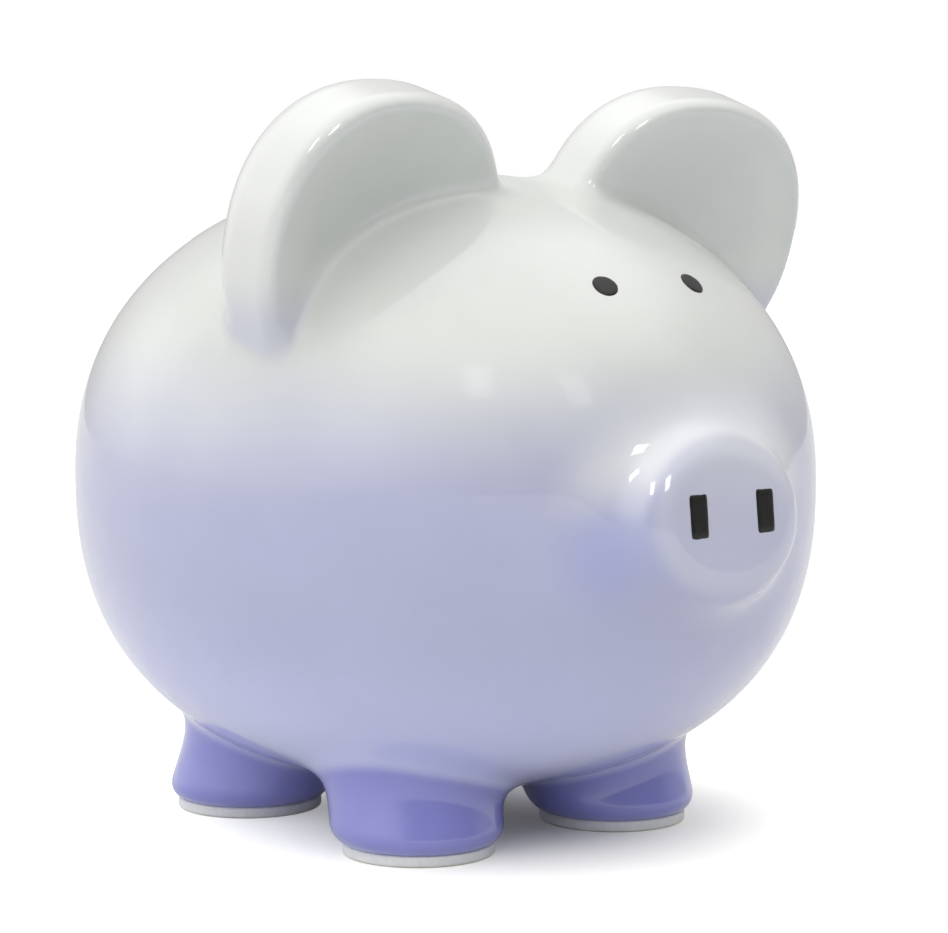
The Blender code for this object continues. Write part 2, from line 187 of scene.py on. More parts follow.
def ear_distance(p, side):
    x = p[:, 0] * side - EAR_CENTRE[0]
    y = p[:, 1] - EAR_CENTRE[1]
    z = p[:, 2] - EAR_CENTRE[2]
    x, y = turned(x, y, EAR_YAW)
    y, z = turned(y, z, EAR_LEAN)
    z, x = turned(z, x, EAR_SPLAY)
    rim = superellipse_distance(x, z, EAR_RADIUS, EAR_RADIUS, EAR_SQUARENESS)
    half = EAR_THICKNESS / 2.0
    reach = np.hypot(x, z) / EAR_RADIUS
    back = y - half - EAR_BACK_CROWN * (1.0 - np.minimum(reach, 1.0) ** 2)
    ear = round_corner(rim, back, EAR_BACK_EDGE)
    ear = round_corner(ear, -y - half, EAR_FRONT_EDGE)
    bowl_reach = (EAR_RADIUS - EAR_DISH_MARGIN) ** 2
    bowl_radius = (bowl_reach + EAR_DISH_DEPTH ** 2) / (2.0 * EAR_DISH_DEPTH)
    bowl_y = y + half - EAR_DISH_DEPTH + bowl_radius
    to_bowl = np.sqrt(x ** 2 + z ** 2 + bowl_y ** 2) - bowl_radius
    return soft_max(ear, -to_bowl, EAR_DISH_EDGE)


def snout_distance(p):
    x, z = p[:, 0], p[:, 2] - SNOUT_CENTRE_Z
    back, up = turned(p[:, 1] - SNOUT_FRONT_Y, z, -SNOUT_TILT)
    size = superellipse_distance(x, up, SNOUT_HALF_WIDTH, SNOUT_HALF_HEIGHT, 2.0)
    wall = (size - SNOUT_SLOPE * np.clip(back, 0.0, SNOUT_DEPTH)) / math.hypot(1.0, SNOUT_SLOPE)
    return np.maximum(round_corner(wall, -back, SNOUT_EDGE), back - SNOUT_DEPTH)


def leg_distance(p, foot):
    x, y = FEET[foot]
    end = foot.split("_")[1]
    height = p[:, 2] - PAD_THICKNESS
    taper = (FOOT_RADIUS - LEG_TOP_RADIUS[end]) / LEG_LENGTH
    from_axis = np.hypot(p[:, 0] - x, p[:, 1] - y - LEG_LEAN[end] * height)
    wall = from_axis - FOOT_RADIUS + taper * height
    leg = round_corner(wall / math.hypot(1.0, taper), -height, FOOT_EDGE)
    return np.maximum(leg, height - LEG_LENGTH)


def rear_surface_y(x, z):
    """Where the body's rear lies at (x, z)."""
    power = np.where(z > BODY_CENTRE_Z, BODY_ROUND_TOP, BODY_ROUND_BOTTOM)
    level = (1.0 - (np.abs(z - BODY_CENTRE_Z) / BODY_HALF[2]) ** power) ** (1.0 / power)
    return BODY_HALF[1] * np.sqrt(level ** 2 - (x / BODY_HALF[0]) ** 2)


def tail_line():
    """Centre line and radius of the tail's curl."""
    along = np.linspace(0.0, 1.0, TAIL_POINTS)
    angle = TAIL_START_ANGLE + TAIL_TURN * along
    coil = TAIL_COIL_START + (TAIL_COIL_END - TAIL_COIL_START) * along
    x = coil * np.cos(angle)
    z = TAIL_CENTRE_Z + coil * np.sin(angle)
    lift = TAIL_LIFT_START + (TAIL_LIFT_END - TAIL_LIFT_START) * np.sin(along * math.pi / 2.0)
    radius = TAIL_THICK + (TAIL_THIN - TAIL_THICK) * along
    return np.stack([x, rear_surface_y(x, z) + lift, z], 1), radius


def tail_distance(p):
    points, radius = tail_line()
    distance = np.linalg.norm(p - points.mean(0), axis=1) - TAIL_COIL_START
    close = np.where(distance < TAIL_NEAR)[0]
    near = p[close]
    best = np.full(len(near), 1.0)
    for start, end, r0, r1 in zip(points, points[1:], radius, radius[1:]):
        run = end - start
        share = np.clip((near - start) @ run / (run @ run), 0.0, 1.0)
        gap = np.linalg.norm(near - start - share[:, None] * run, axis=1)
        best = np.minimum(best, gap - r0 - (r1 - r0) * share)
    distance[close] = best
    return distance


def slot_distance(p):
    past_end = np.maximum(np.abs(p[:, 1] - SLOT_CENTRE_Y) - (SLOT_LENGTH - SLOT_WIDTH) / 2.0, 0.0)
    across = np.hypot(p[:, 0], past_end) - SLOT_WIDTH / 2.0
    return np.maximum(across, BODY_CENTRE_Z - p[:, 2])


def hole_distance(p):
    return np.maximum(np.hypot(p[:, 0], p[:, 1]) - HOLE_RADIUS, p[:, 2] - BODY_CENTRE_Z)


def outside_distance(p):
    """The outer surface of the casting, before the slot and the stopper hole."""
    body = body_distance(p)
    clay = body
    for side in (-1, 1):
        clay = soft_min(clay, ear_distance(p, side), EAR_JOIN)
    clay = soft_min(clay, snout_distance(p), SNOUT_JOIN)
    for foot in FEET:
        clay = soft_min(clay, leg_distance(p, foot), LEG_JOIN)
    return soft_min(clay, tail_distance(p), TAIL_JOIN)


def casting_distance(p):
    clay = np.maximum(outside_distance(p), -(body_distance(p) + BODY_WALL))
    clay = soft_max(clay, -slot_distance(p), SLOT_LIP * 2.0)
    return soft_max(clay, -hole_distance(p), HOLE_LIP * 2.0)


# ---- From a distance field to a mesh ----

def sample_grid(distance, low, counts, step):
    """The distance at every grid point, worked out one slab at a time."""
    field = np.empty(counts)
    ys = low[1] + step * np.arange(counts[1])
    zs = low[2] + step * np.arange(counts[2])
    grid_y, grid_z = np.meshgrid(ys, zs, indexing="ij")
    for i in range(counts[0]):
        x = np.full(grid_y.size, low[0] + step * i)
        field[i] = distance(np.stack([x, grid_y.ravel(), grid_z.ravel()], 1)).reshape(grid_y.shape)
    return field


def surface_net(field, low, step):
    """One vertex in each cell the surface crosses, one quad across each grid edge it crosses."""
    shape = np.array(field.shape) - 1
    cells = np.zeros(shape, int)
    total = np.zeros((*shape, 3))
    count = np.zeros(shape)
    for axis in range(3):
        first = np.moveaxis(field, axis, 0)[:-1]
        second = np.moveaxis(field, axis, 0)[1:]
        crossed = (first < 0.0) != (second < 0.0)
        share = np.where(crossed, first / np.where(crossed, first - second, 1.0), 0.0)
        for di in (0, 1):
            for dj in (0, 1):
                part = [slice(None)] * 3
                others = [a for a in range(3) if a != axis]
                part[others[0]] = slice(di, di + shape[others[0]])
                part[others[1]] = slice(dj, dj + shape[others[1]])
                hit = np.moveaxis(crossed, 0, axis)[tuple(part)]
                along = np.moveaxis(share, 0, axis)[tuple(part)]
                count += hit
                total[..., axis] += np.where(hit, along, 0.0)
                total[..., others[0]] += hit * di
                total[..., others[1]] += hit * dj
    active = count > 0
    cells[active] = np.arange(active.sum())
    corner = np.argwhere(active)
    points = low + step * (corner + total[active] / count[active][:, None])
    quads = []
    for axis in range(3):
        others = [a for a in range(3) if a != axis]
        inner = [slice(None)] * 3
        inner[others[0]] = slice(1, -1)
        inner[others[1]] = slice(1, -1)
        values = field[tuple(inner)]
        first = np.moveaxis(values, axis, 0)[:-1]
        second = np.moveaxis(values, axis, 0)[1:]
        leaving = np.moveaxis((first < 0.0) & (second >= 0.0), 0, axis)
        entering = np.moveaxis((first >= 0.0) & (second < 0.0), 0, axis)
        for crossing, flip in ((leaving, axis == 1), (entering, axis != 1)):
            at = np.argwhere(crossing)
            ring = []
            for di, dj in ((0, 0), (1, 0), (1, 1), (0, 1)):
                spot = at.copy()
                spot[:, others[0]] += di
                spot[:, others[1]] += dj
                ring.append(cells[spot[:, 0], spot[:, 1], spot[:, 2]])
            quad = np.stack(ring, 1)
            quads.append(quad[:, ::-1] if flip else quad)
    return points, np.concatenate(quads)


def gradient(distance, p):
    steps = np.eye(3) * GRADIENT_STEP
    return np.stack([distance(p + s) - distance(p - s) for s in steps], 1) / (2.0 * GRADIENT_STEP)


def settle(distance, points, quads):
    """Even out the quads along the surface and pull every vertex exactly onto it."""
    edges = np.concatenate([quads[:, [k, (k + 1) % 4]] for k in range(4)])
    degree = np.bincount(edges.ravel(), minlength=len(points))
    for turn in range(RELAX_ROUNDS + PULL_ROUNDS):
        slope = gradient(distance, points)
        size = np.maximum((slope ** 2).sum(1), LEAST_SLOPE)
        if turn < RELAX_ROUNDS:
            drift = np.stack([np.bincount(edges[:, 0], points[edges[:, 1], k], len(points))
                              + np.bincount(edges[:, 1], points[edges[:, 0], k], len(points))
                              for k in range(3)], 1) / degree[:, None] - points
            drift -= slope * ((drift * slope).sum(1) / size)[:, None]
            points = points + RELAX_SHARE * drift
        shift = np.clip(distance(points), -MESH_STEP, MESH_STEP) / size
        points = points - slope * shift[:, None]
    slope = gradient(distance, points)
    return points, slope / np.linalg.norm(slope, axis=1)[:, None]


def mesh_object(name, points, faces, normals=None):
    mesh = bpy.data.meshes.new(name)
    mesh.from_pydata(points.tolist(), [], [list(map(int, face)) for face in faces])
    mesh.validate()
    mesh.shade_smooth()
    if normals is not None:
        mesh.normals_split_custom_set_from_vertices(normals.tolist())
    obj = bpy.data.objects.new(name, mesh)
    bpy.context.scene.collection.objects.link(obj)
    return obj


def point_attribute(obj, name, values):
    attribute = obj.data.attributes.new(name, "FLOAT", "POINT")
    attribute.data.foreach_set("value", np.asarray(values, np.float32))


def smooth_share(value, start, end):
    """0 before start, 1 after end, smooth between."""
    share = np.clip((value - start) / (end - start), 0.0, 1.0)
    return share * share * (3.0 - 2.0 * share)


# ---- Node materials ----

class Nodes:
    """A small helper that adds nodes to a material and links them."""

    def __init__(self, name):
        self.material = bpy.data.materials.new(name)
        self.material.use_nodes = True
        self.tree = self.material.node_tree
        self.shader = self.tree.nodes["Principled BSDF"]

    def add(self, kind, values=None, **settings):
        node = self.tree.nodes.new(kind)
        for key, value in settings.items():
            setattr(node, key, value)
        for key, value in (values or {}).items():
            if isinstance(value, bpy.types.NodeSocket):
                self.tree.links.new(value, node.inputs[key])
            else:
                node.inputs[key].default_value = value
        return node

    def place(self):
        """Object coordinates, which stay with the piece when it moves."""
        return self.add("ShaderNodeTexCoord").outputs["Object"]

    def noise(self, scale, detail=3.0, roughness=0.5, vector=None):
        node = self.add("ShaderNodeTexNoise", {"Vector": vector or self.place(), "Scale": scale,
                                               "Detail": detail, "Roughness": roughness})
        return node.outputs["Fac"]

    def math(self, operation, first, second=0.0):
        node = self.add("ShaderNodeMath", {0: first, 1: second}, operation=operation)
        return node.outputs[0]

    def ramp(self, value, low, high, to_low=0.0, to_high=1.0):
        node = self.add("ShaderNodeMapRange", {"Value": value, "From Min": low, "From Max": high,
                                               "To Min": to_low, "To Max": to_high},
                        interpolation_type="SMOOTHSTEP")
        return node.outputs["Result"]

    def mix(self, share, first, second, blend="MIX"):
        node = self.add("ShaderNodeMix", data_type="RGBA", blend_type=blend)
        for socket, value in ((0, share), (6, first), (7, second)):
            if isinstance(value, bpy.types.NodeSocket):
                self.tree.links.new(value, node.inputs[socket])
            else:
                node.inputs[socket].default_value = value
        return node.outputs[2]

    def mask(self, name):
        """One of the casting's point attributes."""
        return self.add("ShaderNodeAttribute", attribute_name=name).outputs["Fac"]

    def near(self, centre, inner, outer):
        """1 within inner of a point, fading to 0 at outer."""
        gap = self.add("ShaderNodeVectorMath", {0: self.place(), 1: centre}, operation="DISTANCE")
        return self.ramp(gap.outputs["Value"], inner, outer, 1.0, 0.0)

    def bump(self, height, strength, distance):
        node = self.add("ShaderNodeBump",
                        {"Height": height, "Strength": strength, "Distance": distance})
        self.link(node.outputs["Normal"], "Normal")

    def link(self, output, socket):
        self.tree.links.new(output, self.shader.inputs[socket])

    def constants(self, **values):
        for key, value in values.items():
            self.shader.inputs[key.replace("_", " ")].default_value = value


IVORY = (0.65, 0.665, 0.635, 1.0)
# painted light: the ears' ivory is a lighter copy of the body's ivory
EAR_IVORY_LIT = (0.70, 0.712, 0.69, 1.0)
EAR_DISH_SHADE = (0.61, 0.64, 0.625, 1.0)       # painted shade in the dish of the ear, where it faces forward and down
BRIDGE_WHITE = (0.72, 0.73, 0.765, 1.0)     # top of the snout
LAVENDER = (0.415, 0.43, 0.625, 1.0)
# lower body's lavender: bluer, as the glaze is, and lighter than the lavender above, which is
# painted light for the floor's bounce on the underside
LOWER_LAVENDER_AND_BOUNCE = (0.515, 0.54, 0.84, 1.0)
PURPLE = (0.245, 0.25, 0.65, 1.0)
SHADE_BLUE = (0.33, 0.36, 0.66, 1.0)

# Heights where one colour starts to give way to the next, and where it is gone
IVORY_FADE = (0.133, 0.0815)
LAVENDER_FADE = (0.070, 0.020)
BORDER_DRIFT = 0.022
FOOT_MOTTLE = 0.25
FOOT_SPRAY_FADE = (0.10, 0.75)
EAR_TIP_SHARE = 0.5
CHEEK = (-0.0285, -0.0965, 0.0785)
CHEEK_REACH = (0.001, 0.017)
CHEEK_SHARE = 0.65
CLOUD = (0.975, 1.02)

CLAY = ((0.62, 0.58, 0.50, 1.0), (0.72, 0.69, 0.62, 1.0))
ENAMEL = ((0.010, 0.011, 0.010, 1.0), (0.014, 0.015, 0.013, 1.0))
ENAMEL_STRETCH = (600.0, 600.0, 260.0)
PAD_WHITE = ((0.74, 0.755, 0.765, 1.0), (0.79, 0.805, 0.815, 1.0))
PAD_DUST = (0.40, 0.40, 0.37, 1.0)
PAD_DUST_HEIGHT = (0.0008, 0.0)
VINYL = ((0.66, 0.65, 0.60, 1.0), (0.74, 0.73, 0.69, 1.0))

# Where the clear coat is thin
THIN_SPOTS = ((-0.050, -0.078, 0.117), (-0.033, -0.090, 0.116))
THIN_REACH = (0.004, 0.030)
THIN_LOSS = 0.92
EAR_SIDE_LOSS = 0.95


def glaze_material():
    """Airbrushed glaze: ivory above, lavender below, purple feet, under a clear gloss, with painted
    light on the ears and underside and painted shade in the ears' dishes.
    """
    n = Nodes("ombre_glaze")
    height = n.add("ShaderNodeSeparateXYZ", {0: n.place()}).outputs["Z"]
    drift = n.math("MULTIPLY", n.math("SUBTRACT", n.noise(14.0, 2.0), 0.5), BORDER_DRIFT)
    level = n.math("ADD", height, drift)
    color = n.mix(n.ramp(level, *IVORY_FADE), IVORY, LAVENDER)
    # towards the bottom the glaze turns a bluer lavender, lightened with painted bounce light from
    # the floor
    color = n.mix(n.ramp(level, *LAVENDER_FADE), color, LOWER_LAVENDER_AND_BOUNCE)
    mottle = n.math("MULTIPLY", n.math("SUBTRACT", n.noise(55.0, 2.0), 0.5), FOOT_MOTTLE)
    spray = n.ramp(n.math("ADD", n.mask("foot_spray"), mottle), *FOOT_SPRAY_FADE)
    color = n.mix(spray, color, PURPLE)
    # painted light: the ears take the lighter copy of the ivory
    color = n.mix(n.mask("ear_lit_ivory"), color, EAR_IVORY_LIT)
    # painted shade: each ear's dish is darkened where it faces forward and down
    color = n.mix(n.mask("ear_dish_shade"), color, EAR_DISH_SHADE)
    color = n.mix(n.math("MULTIPLY", n.mask("ear_tip_spray"), EAR_TIP_SHARE), color, LAVENDER)
    color = n.mix(n.math("MULTIPLY", n.near(CHEEK, *CHEEK_REACH), CHEEK_SHARE), color, SHADE_BLUE)
    color = n.mix(n.mask("bridge_spray"), color, BRIDGE_WHITE)
    cloud = n.ramp(n.noise(30.0, 4.0, 0.6), 0.3, 0.7, *CLOUD)
    tint = n.add("ShaderNodeCombineColor", {0: cloud, 1: cloud, 2: cloud}).outputs[0]
    n.link(n.mix(1.0, color, tint, "MULTIPLY"), "Base Color")
    n.link(n.ramp(n.noise(90.0, 3.0), 0.2, 0.8, 0.28, 0.42), "Roughness")
    thin = n.math("MAXIMUM", *[n.near(spot, *THIN_REACH) for spot in THIN_SPOTS])
    coat = n.math("SUBTRACT", 1.0, n.math("MULTIPLY", thin, THIN_LOSS))
    by_ears = n.math("SUBTRACT", 1.0, n.math("MULTIPLY", n.mask("beside_ears"), EAR_SIDE_LOSS))
    n.link(n.math("MULTIPLY", coat, by_ears), "Coat Weight")
    n.constants(IOR=1.45, Coat_IOR=1.6, Coat_Roughness=0.03)
    n.bump(n.noise(70.0, 2.0), 0.12, 0.0006)
    return n.material


def bisque_material():
    """Bare fired clay inside the coin chamber."""
    n = Nodes("bisque_clay")
    grain = n.noise(900.0, 6.0, 0.7)
    color = n.mix(n.ramp(grain, 0.3, 0.7), *CLAY)
    n.link(color, "Base Color")
    n.link(n.ramp(grain, 0.3, 0.7, 0.75, 0.95), "Roughness")
    n.bump(grain, 0.4, 0.0003)
    return n.material


def enamel_material():
    """Black fired enamel, painted by hand: dense, with faint brush streaks."""
    n = Nodes("black_enamel")
    stretch = n.add("ShaderNodeMapping", {"Vector": n.place(), "Scale": ENAMEL_STRETCH})
    streak = n.noise(1.0, 3.0, 0.6, stretch.outputs["Vector"])
    color = n.mix(n.ramp(streak, 0.3, 0.75), *ENAMEL)
    n.link(color, "Base Color")
    n.link(n.ramp(streak, 0.3, 0.7, 0.24, 0.28), "Roughness")
    n.constants(Specular_IOR_Level=0.30)
    n.bump(streak, 0.06, 0.00004)
    return n.material


def pad_material():
    """Off-white foot pads: rubbery foam with fine grain and a little dust at the floor edge."""
    n = Nodes("foot_pad_foam")
    grain = n.noise(700.0, 3.0, 0.5)
    height = n.add("ShaderNodeSeparateXYZ", {0: n.place()}).outputs["Z"]
    dust = n.math("MULTIPLY", n.ramp(height, *PAD_DUST_HEIGHT), n.noise(200.0, 3.0))
    color = n.mix(n.ramp(grain, 0.3, 0.7), *PAD_WHITE)
    color = n.mix(dust, color, PAD_DUST)
    n.link(color, "Base Color")
    n.link(n.ramp(grain, 0.3, 0.7, 0.48, 0.66), "Roughness")
    n.constants(Specular_IOR_Level=0.45)
    n.bump(grain, 0.15, 0.00010)
    return n.material


def vinyl_material():
    """Translucent off-white vinyl of the stopper, slightly greasy and scuffed."""
    n = Nodes("stopper_vinyl")
    cloud = n.noise(120.0, 4.0, 0.6)
    scuff = n.noise(700.0, 4.0, 0.7)
    color = n.mix(n.ramp(cloud, 0.3, 0.7), *VINYL)
    n.link(color, "Base Color")
    n.link(n.ramp(scuff, 0.35, 0.7, 0.38, 0.6), "Roughness")
    n.constants(Subsurface_Weight=0.15, Subsurface_Scale=0.002)
    n.bump(scuff, 0.2, 0.0001)
    return n.material


# ---- The casting ----

# Pairs say where a mask starts and where it is full: metres from a surface, metres above the
# floor for heights, or a cosine for a facing
FOOT_SPRAY_FROM_LEG = (0.007, -0.0005)
FOOT_SPRAY_FROM_BODY = (-0.004, 0.004)
EAR_TIP_DISTANCE = (0.004, 0.0)
EAR_TIP_HEIGHT = (0.144, 0.128)
EAR_SIDE_OUTER = (0.030, 0.006)
EAR_SIDE_INNER = (0.0, 0.002)
# where the ears' painted light starts and where it is full
EAR_WHITE_DISTANCE = (0.003, 0.0)
# Facing, height fade and share of the painted shade in the ears' dishes
EAR_DISH_FACING = (0.80, 0.96)
EAR_DISH_FADE_HEIGHT = (0.152, 0.134)
EAR_DISH_FADE = 0.7
SNOUT_FACE_DISTANCE = (0.005, 0.0005)
SNOUT_FACE_DEPTH = (0.0035, 0.0005)
SNOUT_FACE_SHARE = 0.33
SNOUT_TOP_DISTANCE = (0.013, 0.002)
SNOUT_TOP_DEPTH = (0.001, 0.004)
SNOUT_TOP_HEIGHT = (-0.002, 0.016)
INNER_SHARE = 0.6           # of the wall: faces deeper than this are bare clay


def add_masks(casting, points, normals):
    """Where the airbrush went, where light and shade are painted on the ears, and where the clear
    coat is thin, as values at the mesh's points.
    """
    body = body_distance(points)
    feet = np.min([leg_distance(points, foot) for foot in FEET], axis=0)
    foot_spray = (smooth_share(feet, *FOOT_SPRAY_FROM_LEG)
                  * smooth_share(body, *FOOT_SPRAY_FROM_BODY))
    point_attribute(casting, "foot_spray", foot_spray)

    ears = np.min([ear_distance(points, side) for side in (-1, 1)], axis=0)
    tip = smooth_share(ears, *EAR_TIP_DISTANCE) * smooth_share(points[:, 2], *EAR_TIP_HEIGHT)
    point_attribute(casting, "ear_tip_spray", tip)
    beside = smooth_share(ears, *EAR_SIDE_OUTER) * smooth_share(ears, *EAR_SIDE_INNER)
    point_attribute(casting, "beside_ears", beside)
    # The ears get painted light; their dishes get painted shade where they face forward and down,
    # less of it towards the bottom
    white = smooth_share(ears, *EAR_WHITE_DISTANCE)
    point_attribute(casting, "ear_lit_ivory", white)
    facing = -normals[:, 1] * math.cos(EAR_LEAN) - normals[:, 2] * math.sin(EAR_LEAN)
    fade = 1.0 - EAR_DISH_FADE * smooth_share(points[:, 2], *EAR_DISH_FADE_HEIGHT)
    point_attribute(casting, "ear_dish_shade", white * smooth_share(facing, *EAR_DISH_FACING) * fade)

    behind, above = turned(points[:, 1] - SNOUT_FRONT_Y, points[:, 2] - SNOUT_CENTRE_Z, -SNOUT_TILT)
    snout = snout_distance(points)
    face = smooth_share(snout, *SNOUT_FACE_DISTANCE) * smooth_share(behind, *SNOUT_FACE_DEPTH)
    top = smooth_share(behind, *SNOUT_TOP_DEPTH) * smooth_share(above, *SNOUT_TOP_HEIGHT)
    top = top * smooth_share(snout, *SNOUT_TOP_DISTANCE)
    point_attribute(casting, "bridge_spray", np.maximum(SNOUT_FACE_SHARE * face, top))


def make_casting():
    """Body, snout, ears, legs and tail as one mesh, with the coin slot and the stopper's hole."""
    nodes = ["body_shell", "snout", "right_ear", "left_ear", "tail"]
    nodes += [f"{foot}_leg" for foot in FEET]
    boxes = np.array([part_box(node) for node in nodes])
    low = boxes[:, 0].min(0) - GRID_MARGIN
    high = boxes[:, 1].max(0) + GRID_MARGIN
    counts = np.ceil((high - low) / MESH_STEP).astype(int) + 1
    field = sample_grid(casting_distance, low, counts, MESH_STEP)
    points, quads = surface_net(field, low, MESH_STEP)
    points, normals = settle(casting_distance, points, quads)
    casting = mesh_object("pig_casting", points, quads, normals)
    add_masks(casting, points, normals)
    casting.data.materials.append(glaze_material())
    casting.data.materials.append(bisque_material())
    inside = body_distance(points)[quads].mean(1) < -INNER_SHARE * BODY_WALL
    casting.data.polygons.foreach_set("material_index", inside.astype(np.int32))
    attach(casting, "bank")
    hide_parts(*nodes)


# ---- Enamel marks, laid onto the glaze ----

MARK_RINGS = 10
MARK_SEGMENTS = 56
MARK_HEIGHT = 0.00028
MARK_ROOT = 0.00015         # how deep its edge reaches into the glaze
MARK_CENTRE_ROUNDS = 8
MARK_FIT_ROUNDS = 6

EYE_RADIUS = 0.0033
EYE_POWER = 2.0             # superellipse powers: a circle, and nearly a rectangle
EYE_WOBBLE = 0.008
NOSTRIL_HALF_WIDTH = 0.0028
NOSTRIL_HALF_HEIGHT = 0.0052
NOSTRIL_POWER = 14.0
NOSTRIL_WOBBLE = 0.009


def mark_patch(name, node, half_width, half_height, power, wobble):
    """A thin domed patch that follows the glaze under it, with a slightly uneven painted edge."""
    low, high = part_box(node)
    centre = np.array((low + high) / 2.0, float)[None]
    for _ in range(MARK_CENTRE_ROUNDS):
        slope = gradient(outside_distance, centre)
        centre = centre - slope * (outside_distance(centre) / (slope ** 2).sum(1))[:, None]
    normal = (slope / np.linalg.norm(slope))[0]
    across = np.cross((0.0, 0.0, 1.0), normal)
    across /= np.linalg.norm(across)
    up = np.cross(normal, across)
    turn = np.linspace(0.0, 2.0 * math.pi, MARK_SEGMENTS, endpoint=False)
    edge = (np.abs(np.cos(turn)) ** power + np.abs(np.sin(turn)) ** power) ** (-1.0 / power)
    waver = np.sin(3.0 * turn + 0.6) + 0.7 * np.sin(7.0 * turn + centre[0, 0] * 400.0)
    edge = edge * (1.0 + wobble * waver)
    points = [centre[0]]
    lift = [MARK_HEIGHT]
    for ring in range(1, MARK_RINGS + 1):
        share = math.sin(0.5 * math.pi * ring / MARK_RINGS)
        u = share * edge * np.cos(turn) * half_width
        v = share * edge * np.sin(turn) * half_height
        points.extend(centre[0] + u[:, None] * across + v[:, None] * up)
        height = MARK_HEIGHT * (1.0 - share ** 10) - MARK_ROOT * share ** 30
        lift.extend([height] * MARK_SEGMENTS)
    points.append(centre[0])
    lift.append(-MARK_ROOT)
    points, lift = np.array(points), np.array(lift)
    for _ in range(MARK_FIT_ROUNDS):
        slope = gradient(outside_distance, points)
        off = (outside_distance(points) - lift) / (slope ** 2).sum(1)
        points = points - normal * (off * (slope @ normal))[:, None]
    faces = []
    for k in range(MARK_SEGMENTS):
        following = (k + 1) % MARK_SEGMENTS
        faces.append((0, 1 + k, 1 + following))
        for ring in range(MARK_RINGS - 1):
            inner, outer = 1 + ring * MARK_SEGMENTS, 1 + (ring + 1) * MARK_SEGMENTS
            faces.append((inner + k, outer + k, outer + following, inner + following))
        rim = 1 + (MARK_RINGS - 1) * MARK_SEGMENTS
        faces.append((len(points) - 1, rim + following, rim + k))
    patch = mesh_object(name, points, faces)
    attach(patch, "bank")
    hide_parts(node)
    return patch


def make_marks():
    enamel = enamel_material()
    for hand in ("right", "left"):
        eye = mark_patch(f"{hand}_eye_enamel", f"{hand}_eye", EYE_RADIUS, EYE_RADIUS,
                         EYE_POWER, EYE_WOBBLE)
        nostril = mark_patch(f"{hand}_nostril_enamel", f"{hand}_nostril", NOSTRIL_HALF_WIDTH,
                             NOSTRIL_HALF_HEIGHT, NOSTRIL_POWER, NOSTRIL_WOBBLE)
        for mark in (eye, nostril):
            mark.data.materials.append(enamel)


# ---- Turned pieces: pads and stopper ----

def arc(centre, radius, start, end, segments):
    """Points on an arc in the (radius, height) plane, angles in degrees, both ends included."""
    angles = np.radians(np.linspace(start, end, segments + 1))
    return [(centre[0] + radius * math.cos(a), centre[1] + radius * math.sin(a)) for a in angles]


def turned_piece(name, profile, steps, place):
    """Turn a profile of (radius, height) points, top to bottom, about an upright through place."""
    angles = np.linspace(0.0, 2.0 * math.pi, steps, endpoint=False)
    points, faces, rings = [], [], []
    for radius, height in profile:
        if radius < SMALL:
            rings.append([len(points)] * steps)
            points.append((0.0, 0.0, height))
        else:
            rings.append(list(range(len(points), len(points) + steps)))
            points.extend((radius * math.cos(a), radius * math.sin(a), height) for a in angles)
    for upper, lower in zip(rings, rings[1:]):
        for k in range(steps):
            following = (k + 1) % steps
            ring = (upper[k], lower[k], lower[following], upper[following])
            faces.append(tuple(dict.fromkeys(ring)))
    piece = mesh_object(name, np.array(points), faces)
    piece.location = place
    return piece


PAD_LIFT = 0.0004           # of its top into the leg, past the CAD's gap
PAD_ROUND = 0.0007
PAD_FLAT_MARGIN = 0.004     # ring of points this far in from the edge
PAD_STEPS = 96


def make_pads():
    material = pad_material()
    top = PAD_THICKNESS + PAD_LIFT
    side = PAD_RADIUS
    for foot, (x, y) in FEET.items():
        profile = [(0.0, top), (side - PAD_FLAT_MARGIN, top)]
        profile += arc((side - PAD_ROUND, top - PAD_ROUND), PAD_ROUND, 90.0, 0.0, 6)
        profile += arc((side - PAD_ROUND, PAD_ROUND), PAD_ROUND, 0.0, -90.0, 6)
        profile += [(side - PAD_FLAT_MARGIN, 0.0), (0.0, 0.0)]
        pad = turned_piece(f"{foot}_pad_foam", profile, PAD_STEPS, (x, y, 0.0))
        pad.data.materials.append(material)
        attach(pad, "bank")
        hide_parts(f"{foot}_pad")


PLUG_RADIUS = 0.0157
PLUG_WALL = 0.0025
CUP_FLOOR = 0.0010          # above the flange
CUP_ROUND = 0.0015
CUP_FLOOR_MARGIN = 0.0020
RIM_START = 0.0006          # below the top
RIM_INNER_ROUND = 0.0007
RIM_OUTER_ROUND = 0.0010
RIM_CHAMFER = 0.0008
RIB_HEIGHTS = (0.0062, 0.0042, 0.0022)
RIB_LIFT = 0.0003
RIB_HALF_ROOT = 0.0007
RIB_HALF_CREST = 0.0002
RIB_CLEARANCE = 0.00005
ROOT_HEIGHT = 0.0004
FLANGE_THICKNESS = 0.0024
FLANGE_ROUND = 0.0008
GRIP_RING_OUTER = 0.0133    # the grip: a groove round a small button
GRIP_GROOVE_OUTER = 0.0113
GRIP_GROOVE_INNER = 0.0050
GRIP_BUTTON_SIDE = 0.0044
GRIP_BUTTON_TOP = 0.0036
GRIP_DEPTH = 0.0012
GRIP_ROUND = 0.0006
STOPPER_STEPS = 96


